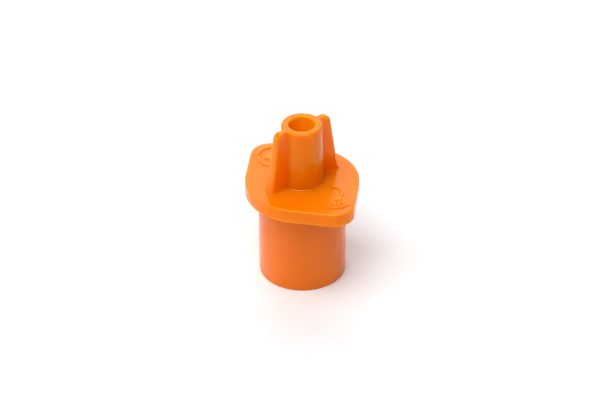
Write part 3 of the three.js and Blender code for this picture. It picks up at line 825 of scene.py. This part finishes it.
def labyrinth_disc():
    channel, rim = maze_outline()
    outline = [(p.x, p.y) for p in channel + rim]
    skin = Skin()
    floor_z, top_z, low_z = MAZE_HIGH.z - MAZE_DEPTH, MAZE_HIGH.z, MAZE_LOW.z
    at_floor, top = skin.stack([
        [(x, y, floor_z) for x, y in outline],
        [(x, y, top_z - MAZE_EDGE) for x, y in outline],
        [(x, y, top_z) for x, y in grown(outline, -MAZE_EDGE)]])
    outer_at_floor = [at_floor[len(channel) - 1]] + at_floor[len(channel):] + [at_floor[0]]
    outer_points = [skin.points[i] for i in outer_at_floor]
    foot = skin.ring([(x, y, low_z + SOFT_EDGE) for x, y, _ in outer_points])
    shrink = 1 - SOFT_EDGE / CARTRIDGE_R
    under = skin.ring([(x * shrink, y * shrink, low_z) for x, y, _ in outer_points])
    skin.bridge(under, foot)
    skin.bridge(foot, outer_at_floor)
    hole_top, hole_low = bored(skin, (0.0, 0.0), OUTLET_R, top_z, low_z)
    drop_top, drop_low = bored(skin, tuple(POOL), FEED_R, floor_z, low_z)
    skin.fill(top, [hole_top])
    skin.fill(at_floor[:len(channel)], [drop_top])
    skin.fill(under, [hole_low, drop_low], up=False)
    return finish_normals(skin.object("labyrinth_disc_maze"))


def labyrinth_gasket():
    outer, low, high = GASKET_HIGH.x, GASKET_LOW.z, GASKET_HIGH.z
    corners = [(outer, low), (outer, high), (TUBE_STOP_R, high), (TUBE_STOP_R, low)]
    return turned_ring("labyrinth_gasket_rubber", corners)


# ---- filter ----
BASKET_TOP_R = 6.55
BASKET_END_R = 5.7
BASKET_WALL = 0.9
WINDOW_COUNT = 6
WINDOW_WIDTH = 3.6
WINDOW_LOW_Z = 6.7
WINDOW_HIGH_Z = 11.0
END_HOLE_R = 0.8
END_HOLE_CIRCLE_R = 3.2
BASKET_EDGE = 0.2
WINDOW_BEVEL = 0.15
BEVEL_ANGLE = math.radians(50)


def basket_r(z):
    """Outer radius of the basket's wall at a height."""
    share = (z - BASKET_LOW.z) / (LEDGE_Z - BASKET_LOW.z)
    return BASKET_END_R + (BASKET_TOP_R - BASKET_END_R) * share


def basket_columns():
    """Angles round the basket, and whether each starts a column of window or of rib."""
    window_steps, rib_steps = 10, 8
    pitch = 2 * math.pi / WINDOW_COUNT
    half = WINDOW_WIDTH / 2 / basket_r((WINDOW_LOW_Z + WINDOW_HIGH_Z) / 2)
    angles, open_column = [], []
    for i in range(WINDOW_COUNT):
        start = pitch * (i + 0.5) - half
        for k in range(window_steps):
            angles.append(start + 2 * half * k / window_steps)
            open_column.append(True)
        for k in range(rib_steps):
            angles.append(start + 2 * half + (pitch - 2 * half) * k / rib_steps)
            open_column.append(False)
    return angles, open_column


def filter_basket():
    """A hanging cup with windows in its wall and holes in its floor."""
    angles, open_column = basket_columns()
    low, rim_low, rim_high, rim_r = BASKET_LOW.z, LEDGE_Z, BASKET_HIGH.z, BASKET_HIGH.x
    floor_z, wall = low + BASKET_WALL, BASKET_WALL
    outer = [(basket_r(low) - BASKET_EDGE, low), (basket_r(low), low + BASKET_EDGE),
             (basket_r(WINDOW_LOW_Z), WINDOW_LOW_Z), (basket_r(WINDOW_HIGH_Z), WINDOW_HIGH_Z),
             (BASKET_TOP_R, rim_low), (rim_r - SOFT_EDGE, rim_low), (rim_r, rim_low + SOFT_EDGE),
             (rim_r, rim_high - SOFT_EDGE), (rim_r - SOFT_EDGE, rim_high)]
    inner = [(BASKET_TOP_R - wall + SOFT_EDGE, rim_high),
             (BASKET_TOP_R - wall, rim_high - SOFT_EDGE),
             (basket_r(WINDOW_HIGH_Z) - wall, WINDOW_HIGH_Z),
             (basket_r(WINDOW_LOW_Z) - wall, WINDOW_LOW_Z),
             (basket_r(floor_z) - wall, floor_z + CORNER),
             (basket_r(floor_z) - wall - CORNER, floor_z)]
    skin = Skin()
    rings = [skin.ring([(*polar(r, a), z) for a in angles]) for r, z in outer + inner]
    sill_out, head_out, head_in, sill_in = rings[2], rings[3], rings[-4], rings[-3]
    count = len(angles)
    for lower, upper in zip(rings, rings[1:]):
        for j in range(count):
            k = (j + 1) % count
            if open_column[j] and (lower is sill_out or lower is head_in):
                continue
            skin.faces.append((lower[j], lower[k], upper[k], upper[j]))
    for j in range(count):
        k = (j + 1) % count
        if not open_column[j]:
            continue
        skin.faces.append((sill_out[j], sill_out[k], sill_in[k], sill_in[j]))
        skin.faces.append((head_out[j], head_in[j], head_in[k], head_out[k]))
        if not open_column[j - 1]:
            skin.faces.append((sill_out[j], sill_in[j], head_in[j], head_out[j]))
        if not open_column[k]:
            skin.faces.append((sill_out[k], head_out[k], head_in[k], sill_in[k]))
    holes = port_centres(WINDOW_COUNT, END_HOLE_CIRCLE_R, half_step=True)
    tops, bottoms = bored_all(skin, holes, END_HOLE_R, floor_z, low)
    skin.fill(rings[0], bottoms, up=False)
    skin.fill(rings[-1], tops)
    piece = skin.object("filter_basket_shell")
    bevel = piece.modifiers.new("window_edges", "BEVEL")
    bevel.width = WINDOW_BEVEL * MM
    bevel.segments = 2
    bevel.limit_method = "ANGLE"
    bevel.angle_limit = BEVEL_ANGLE
    return finish_normals(piece)


WIRE_R = 0.075
WEAVE = 0.07
MESH_WIRES = 84
MESH_HOOP_STEP = 0.36
MESH_PLAY = 0.02
FIRST_HOOP = 0.4
SHORTEST_HALF = 0.2  # half of the shortest wire across the mesh's end
LOW_HEM = 0.5
HIGH_HEM = 0.45
HEM_HALF = 0.12
HEM_EDGE = 0.08


def wire(skin, points, outward, closed=False, sides=5):
    """A thin round wire along points; outward gives a direction across it at each point."""
    rings = []
    count = len(points)
    turns = [2 * math.pi * k / sides for k in range(sides)]
    for i, here in enumerate(points):
        after = points[(i + 1) % count] if closed else points[min(i + 1, count - 1)]
        before = points[i - 1] if closed or i else points[0]
        along = (after - before).normalized()
        side = along.cross(outward[i]).normalized()
        lift = side.cross(along)
        rings.append([here + (lift * math.cos(a) + side * math.sin(a)) * WIRE_R for a in turns])
    first, last = skin.stack(rings)
    if closed:
        skin.bridge(last, first)
        return
    skin.faces.append(tuple(reversed(first)))
    skin.faces.append(tuple(last))


def filter_mesh():
    """A cup of plain woven wire between two plain hems."""
    skin = Skin()
    low, high = MESH_LOW.z, MESH_HIGH.z
    top_r = MESH_HIGH.x - WIRE_R - WEAVE - MESH_PLAY
    low_r = basket_r(low) - BASKET_WALL - WIRE_R - WEAVE - 5 * MESH_PLAY
    hoops = int((high - low - LOW_HEM) / MESH_HOOP_STEP)
    first_z = low + FIRST_HOOP

    def cup_r(z):
        return low_r + (top_r - low_r) * (z - low) / (high - low)

    for k in range(hoops):
        z = first_z + k * MESH_HOOP_STEP
        points, outward = [], []
        for i in range(2 * MESH_WIRES):
            a = math.pi * i / MESH_WIRES
            r = cup_r(z) + WEAVE * math.cos(MESH_WIRES * a + math.pi * k)
            points.append(Vector((*polar(r, a), z)))
            outward.append(Vector((*heading(a), 0)))
        wire(skin, points, outward, closed=True)
    for m in range(MESH_WIRES):
        a = 2 * math.pi * m / MESH_WIRES
        direction = Vector((*heading(a), 0))
        points = []
        for i in range(2 * hoops):
            z = first_z + (i - 0.5) * MESH_HOOP_STEP / 2
            r = cup_r(z) - WEAVE * math.cos(math.pi * (i - 0.5) / 2 + math.pi * m)
            points.append(direction * r + Vector((0, 0, z)))
        wire(skin, points, [direction] * len(points))
    end_z = low + WIRE_R + WEAVE + MESH_PLAY
    span = int(low_r / MESH_HOOP_STEP)
    for turn in (0, 1):
        for m in range(-span, span + 1):
            offset = m * MESH_HOOP_STEP
            half = math.sqrt(max(low_r ** 2 - offset ** 2, SHORTEST_HALF ** 2))
            steps = max(int(2 * half / MESH_HOOP_STEP * 2), 2)
            points = []
            for i in range(steps + 1):
                along = -half + 2 * half * i / steps
                over = math.cos(math.pi * (along / MESH_HOOP_STEP + m + turn))
                place = (along, offset) if turn == 0 else (offset, along)
                points.append(Vector((*place, end_z + WEAVE * over)))
            wire(skin, points, [Vector((0, 0, 1))] * len(points))
    for z0, z1 in ((low, low + LOW_HEM), (high - HIGH_HEM, high)):
        r0, r1 = cup_r(z0) + MESH_PLAY, cup_r(z1) + MESH_PLAY
        corners = [(r0 + HEM_HALF, z0), (r1 + HEM_HALF, z1), (r1 - HEM_HALF, z1), (r0 - HEM_HALF, z0)]
        first, last = skin.chain(softened(corners, HEM_EDGE), INNER_COUNT)
        skin.bridge(last, first)
    piece = skin.object("filter_mesh_weave")
    piece.data.shade_smooth()
    return piece


# ---- materials ----
CAP_DARK = (0.85, 0.196, 0.0006)
CAP_LIGHT = (0.88, 0.212, 0.0012)
COLLAR_DARK = (0.865, 0.18, 0.001)
COLLAR_LIGHT = (0.895, 0.194, 0.002)
# A paler colour painted on the sharpest edges of the orange plastic, as a highlight.
EDGE_PAINTED_HIGHLIGHT = (0.96, 0.34, 0.03)
# A brighter colour painted on the wall of the bore, standing in for light that comes through the thin
# spout.
BORE_PAINTED_LIGHT = (0.99, 0.36, 0.001)
GRAIN_HEIGHT = 0.02 * MM
PLASTIC_IOR = 1.49


def set_inputs(tree, node, values):
    """Set a node's inputs, or link them where the value is another node's output."""
    for name, value in values.items():
        if isinstance(value, bpy.types.NodeSocket):
            tree.links.new(value, node.inputs[name])
        else:
            node.inputs[name].default_value = value


def new_node(tree, kind, inputs, **settings):
    node = tree.nodes.new(kind)
    for name, value in settings.items():
        setattr(node, name, value)
    set_inputs(tree, node, inputs)
    return node


def new_material(name):
    material = bpy.data.materials.new(name)
    material.use_nodes = True
    return material, material.node_tree, material.node_tree.nodes["Principled BSDF"]


def noise(tree, scale, detail=3.0, roughness=0.5, stretch=(1, 1, 1)):
    """Noise in object space, where one unit is a metre."""
    place = tree.nodes.new("ShaderNodeTexCoord").outputs["Object"]
    mapping = new_node(tree, "ShaderNodeMapping", {"Vector": place, "Scale": stretch})
    texture = new_node(tree, "ShaderNodeTexNoise", {
        "Vector": mapping.outputs["Vector"], "Scale": scale, "Detail": detail, "Roughness": roughness})
    return texture.outputs["Fac"]


def ramp(tree, value, low, high):
    """A colour that goes from low to high as value rises through its middle range."""
    node = new_node(tree, "ShaderNodeValToRGB", {"Fac": value})
    for element, position, colour in zip(node.color_ramp.elements, (0.3, 0.7), (low, high)):
        element.position = position
        element.color = (*colour, 1)
    return node.outputs["Color"]


def spread(tree, value, start, end, low=0.0, high=1.0):
    """A number that goes from low to high as value goes from start to end."""
    node = new_node(tree, "ShaderNodeMapRange", {
        "Value": value, "From Min": start, "From Max": end, "To Min": low, "To Max": high})
    return node.outputs["Result"]


def product(tree, first, second):
    return new_node(tree, "ShaderNodeMath", {0: first, 1: second}, operation="MULTIPLY").outputs["Value"]


def mixed(tree, factor, first, second):
    """A colour between two, by a factor output."""
    inputs = {"Factor": factor, "A": first, "B": second}
    return new_node(tree, "ShaderNodeMix", inputs, data_type="RGBA").outputs["Result"]


def grain_relief(tree, shader, scale, strength):
    node = new_node(tree, "ShaderNodeBump", {
        "Height": noise(tree, scale), "Strength": strength, "Distance": GRAIN_HEIGHT})
    set_inputs(tree, shader, {"Normal": node.outputs["Normal"]})


def scuffs(tree, scale, width):
    """Thin, sparse handling marks: 1 on a mark and 0 elsewhere."""
    lines = spread(tree, noise(tree, scale, 1.0, 0.4, (1.0, 9.0, 2.0)), 0.5 + width, 0.5)
    patches = spread(tree, noise(tree, scale * 0.4, 2.0), 0.55, 0.7)
    return product(tree, lines, patches)


# On the orange plastic this mask carries a painted highlight; on the other pieces it carries edge wear.
def edge_wear_and_highlight_mask(tree):
    """1 on the sharpest outer edges and 0 elsewhere."""
    pointiness = tree.nodes.new("ShaderNodeNewGeometry").outputs["Pointiness"]
    return spread(tree, pointiness, 0.515, 0.56)


def painted_light_in_tube_socket(tree):
    """1 on the wall of the bore, where a brighter colour is painted in for light coming through the thin
    spout, and 0 elsewhere.
    """
    place = tree.nodes.new("ShaderNodeTexCoord").outputs["Object"]
    flat = new_node(tree, "ShaderNodeVectorMath", {0: place, 1: (1.0, 1.0, 0.0)}, operation="MULTIPLY")
    from_axis = new_node(tree, "ShaderNodeVectorMath", {0: flat.outputs["Vector"]}, operation="LENGTH")
    outer, inner = (TUBE_SOCKET_R + 0.25) * MM, (TUBE_SOCKET_R + 0.02) * MM
    within = spread(tree, from_axis.outputs["Value"], outer, inner)
    height = new_node(tree, "ShaderNodeSeparateXYZ", {"Vector": place}).outputs["Z"]
    above = spread(tree, height, TUBE_STOP_Z * MM, (TUBE_STOP_Z + 3.0) * MM)
    return product(tree, within, above)


def orange_plastic(name, dark, light, blue_gloss, depth):
    """Satin polypropylene that light enters, with a painted highlight on its sharpest edges and painted
    light on the wall of the bore.
    """
    material, tree, shader = new_material(name)
    colour = ramp(tree, noise(tree, 90.0, 2.0), dark, light)
    # The sharpest edges take a paler colour: a painted highlight.
    painted_highlight = ramp(tree, noise(tree, 400.0, 2.0), light, EDGE_PAINTED_HIGHLIGHT)
    wear_and_highlight = mixed(tree, edge_wear_and_highlight_mask(tree), colour, painted_highlight)
    gloss = new_node(tree, "ShaderNodeMath", {
        0: scuffs(tree, 260.0, 0.012), 1: 0.05,
        2: spread(tree, noise(tree, 1500.0, 4.0, 0.6), 0, 1, 0.12, 0.2)}, operation="MULTIPLY_ADD")
    set_inputs(tree, shader, {
        # Painted light: the wall of the bore takes a brighter colour.
        "Base Color": mixed(tree, painted_light_in_tube_socket(tree), wear_and_highlight, (*BORE_PAINTED_LIGHT, 1)),
        "Roughness": gloss.outputs["Value"],
        "IOR": PLASTIC_IOR,
        "Specular IOR Level": 0.38,
        "Specular Tint": (1.0, 1.0, blue_gloss, 1.0),
        "Subsurface Weight": 1.0,
        "Subsurface Radius": (1.0, 0.6, 0.05),
        "Subsurface Scale": depth})
    grain_relief(tree, shader, 2600.0, 0.06)
    return material


def moulded(name, dark, light, rough, grain=1500.0, relief=0.12, extra=None):
    """Moulded plastic or rubber: cloudy colour, worn edges, uneven gloss and a fine grain."""
    material, tree, shader = new_material(name)
    cloud = noise(tree, 110.0, 3.0)
    colour = ramp(tree, cloud, dark, light)
    wear_and_highlight = ramp(tree, cloud, *(tuple(c + (1 - c) * 0.10 for c in shade) for shade in (dark, light)))
    set_inputs(tree, shader, {
        "Base Color": mixed(tree, edge_wear_and_highlight_mask(tree), colour, wear_and_highlight),
        "Roughness": spread(tree, noise(tree, grain, 4.0, 0.6), 0, 1, *rough),
        "IOR": PLASTIC_IOR,
        "Specular IOR Level": 0.5,
        **(extra or {})})
    grain_relief(tree, shader, grain * 1.7, relief)
    return material


# ---- stage ----
CAMERA_AZIMUTH = math.radians(54.12)
CAMERA_ELEVATION = math.radians(35.43)
CAMERA_ROLL = math.radians(-0.34)
CAMERA_DISTANCE = 0.82077
CAMERA_LENS = 200.1
AIM_ACROSS = -0.000552
AIM_HEIGHT = 0.017379
FLOOR_HALF = 3.0
FLOOR_WHITE = (0.9, 0.9, 0.9, 1)
FLOOR_ROUGHNESS = 0.6
LIGHT_DISTANCE = 0.6
LIGHT_AIM = Vector((0, 0, 0.02))
LIGHTS = [
    # name, toward the right, the camera and the top, size in m, power in W
    ("backdrop", (0.0, -0.85, 0.5), 0.8, 2.9),
    ("left_key", (-0.32, 0.14, 0.94), 0.42, 1.4),
    ("front_high", (0.0, 0.5, 0.87), 0.36, 1.45),
    ("front_left", (-0.4, 0.5, 0.77), 0.3, 0.65),
    ("top", (0.0, 0.0, 1.0), 0.8, 0.5),
    ("left_low", (-0.97, 0.0, 0.25), 0.3, 0.98),
    ("right_low", (0.97, 0.0, 0.25), 0.2, 0.46),
]


def camera():
    """The camera; gives back the directions to its right and from the object to it."""
    a, e = CAMERA_AZIMUTH, CAMERA_ELEVATION
    right = Vector((math.cos(a), math.sin(a), 0))
    back = Vector((math.sin(a) * math.cos(e), -math.cos(a) * math.cos(e), math.sin(e)))
    up = back.cross(right)
    target = right * AIM_ACROSS + Vector((0, 0, AIM_HEIGHT))
    c, s = math.cos(CAMERA_ROLL), math.sin(CAMERA_ROLL)
    rolled_right = right * c + up * s
    rolled_up = up * c - right * s
    data = bpy.data.cameras.new("camera")
    data.lens = CAMERA_LENS
    data.sensor_width = 36.0
    data.clip_start = 0.01
    piece = bpy.data.objects.new("camera", data)
    turn = Matrix((rolled_right, rolled_up, back)).transposed()
    piece.matrix_world = Matrix.Translation(target + back * CAMERA_DISTANCE) @ turn.to_4x4()
    bpy.context.scene.collection.objects.link(piece)
    bpy.context.scene.camera = piece
    return right, back


def floor():
    mesh = bpy.data.meshes.new("floor")
    half = FLOOR_HALF
    corners = [(-half, -half, 0), (half, -half, 0), (half, half, 0), (-half, half, 0)]
    mesh.from_pydata(corners, [], [(0, 1, 2, 3)])
    piece = bpy.data.objects.new("floor", mesh)
    bpy.context.scene.collection.objects.link(piece)
    material, tree, shader = new_material("floor_white")
    set_inputs(tree, shader, {"Base Color": FLOOR_WHITE, "Roughness": FLOOR_ROUGHNESS})
    mesh.materials.append(material)


def area_light(name, place, size, power):
    """A round soft light aimed at the object."""
    light = bpy.data.lights.new(name, "AREA")
    light.shape = "DISK"
    light.size, light.energy = size, power
    piece = bpy.data.objects.new(name, light)
    piece.location = place
    aim = (LIGHT_AIM - place).normalized()
    piece.rotation_euler = aim.to_track_quat("-Z", "Y").to_euler()
    bpy.context.scene.collection.objects.link(piece)


def dark_world():
    """All light comes from the area lights."""
    world = bpy.data.worlds.new("studio")
    world.use_nodes = True
    world.node_tree.nodes["Background"].inputs["Strength"].default_value = 0.0
    bpy.context.scene.world = world


right, back = camera()
floor()
dark_world()
bpy.context.scene.view_settings.view_transform = "Standard"
level_back = Vector((back.x, back.y, 0)).normalized()
for name, (across, toward, above), size, power in LIGHTS:
    direction = (right * across + level_back * toward + Vector((0, 0, above))).normalized()
    area_light(name, direction * LIGHT_DISTANCE + LIGHT_AIM, size, power)

# ---- assembly ----
MATERIALS = {
    "orange_cap": orange_plastic("orange_cap", CAP_DARK, CAP_LIGHT, blue_gloss=0.33, depth=0.005),
    "orange_collar": orange_plastic(
        "orange_collar", COLLAR_DARK, COLLAR_LIGHT, blue_gloss=0.7, depth=0.0015),
    "black_rubber": moulded(
        "black_rubber", (0.010, 0.010, 0.011), (0.020, 0.020, 0.021), (0.52, 0.72),
        grain=2200.0, relief=0.3, extra={"Specular IOR Level": 0.35}),
    "clear_silicone": moulded(
        "clear_silicone", (0.64, 0.67, 0.64), (0.74, 0.76, 0.72), (0.28, 0.42),
        grain=900.0, relief=0.08, extra={
            "IOR": 1.41, "Subsurface Weight": 0.9,
            "Subsurface Radius": (1.0, 1.0, 0.9), "Subsurface Scale": 0.0015}),
    "grey_acetal": moulded(
        "grey_acetal", (0.10, 0.115, 0.13), (0.135, 0.15, 0.17), (0.32, 0.45)),
    "ivory_acetal": moulded(
        "ivory_acetal", (0.72, 0.67, 0.54), (0.80, 0.76, 0.64), (0.30, 0.44), extra={
            "Subsurface Weight": 0.3, "Subsurface Radius": (1.0, 0.8, 0.5),
            "Subsurface Scale": 0.001}),
    "blue_nylon": moulded(
        "blue_nylon", (0.022, 0.10, 0.29), (0.04, 0.15, 0.38), (0.35, 0.5),
        grain=3000.0, extra={"IOR": 1.53, "Sheen Weight": 0.2}),
}
PIECES = [
    (winged_cap, "winged_cap", "cap", "orange_cap"),
    (base_collar, "base_collar", "inlet_body", "orange_collar"),
    (cap_o_ring, "cap_o_ring", "cap_seal", "black_rubber"),
    (carrier_seal, "carrier_seal", "carrier", "black_rubber"),
    (diaphragm_carrier, "diaphragm_carrier", "carrier", "grey_acetal"),
    (diaphragm, "diaphragm", "diaphragm", "clear_silicone"),
    (metering_seat, "metering_seat", "metering_core", "ivory_acetal"),
    (labyrinth_disc, "labyrinth_disc", "metering_core", "grey_acetal"),
    (labyrinth_gasket, "labyrinth_gasket", "metering_core", "black_rubber"),
    (filter_basket, "filter_basket", "filter", "ivory_acetal"),
    (filter_mesh, "filter_mesh", "filter", "blue_nylon"),
]

for make, node, body, finish in PIECES:
    piece = make()
    piece.data.materials.append(MATERIALS[finish])
    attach(piece, body)
    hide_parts(node)
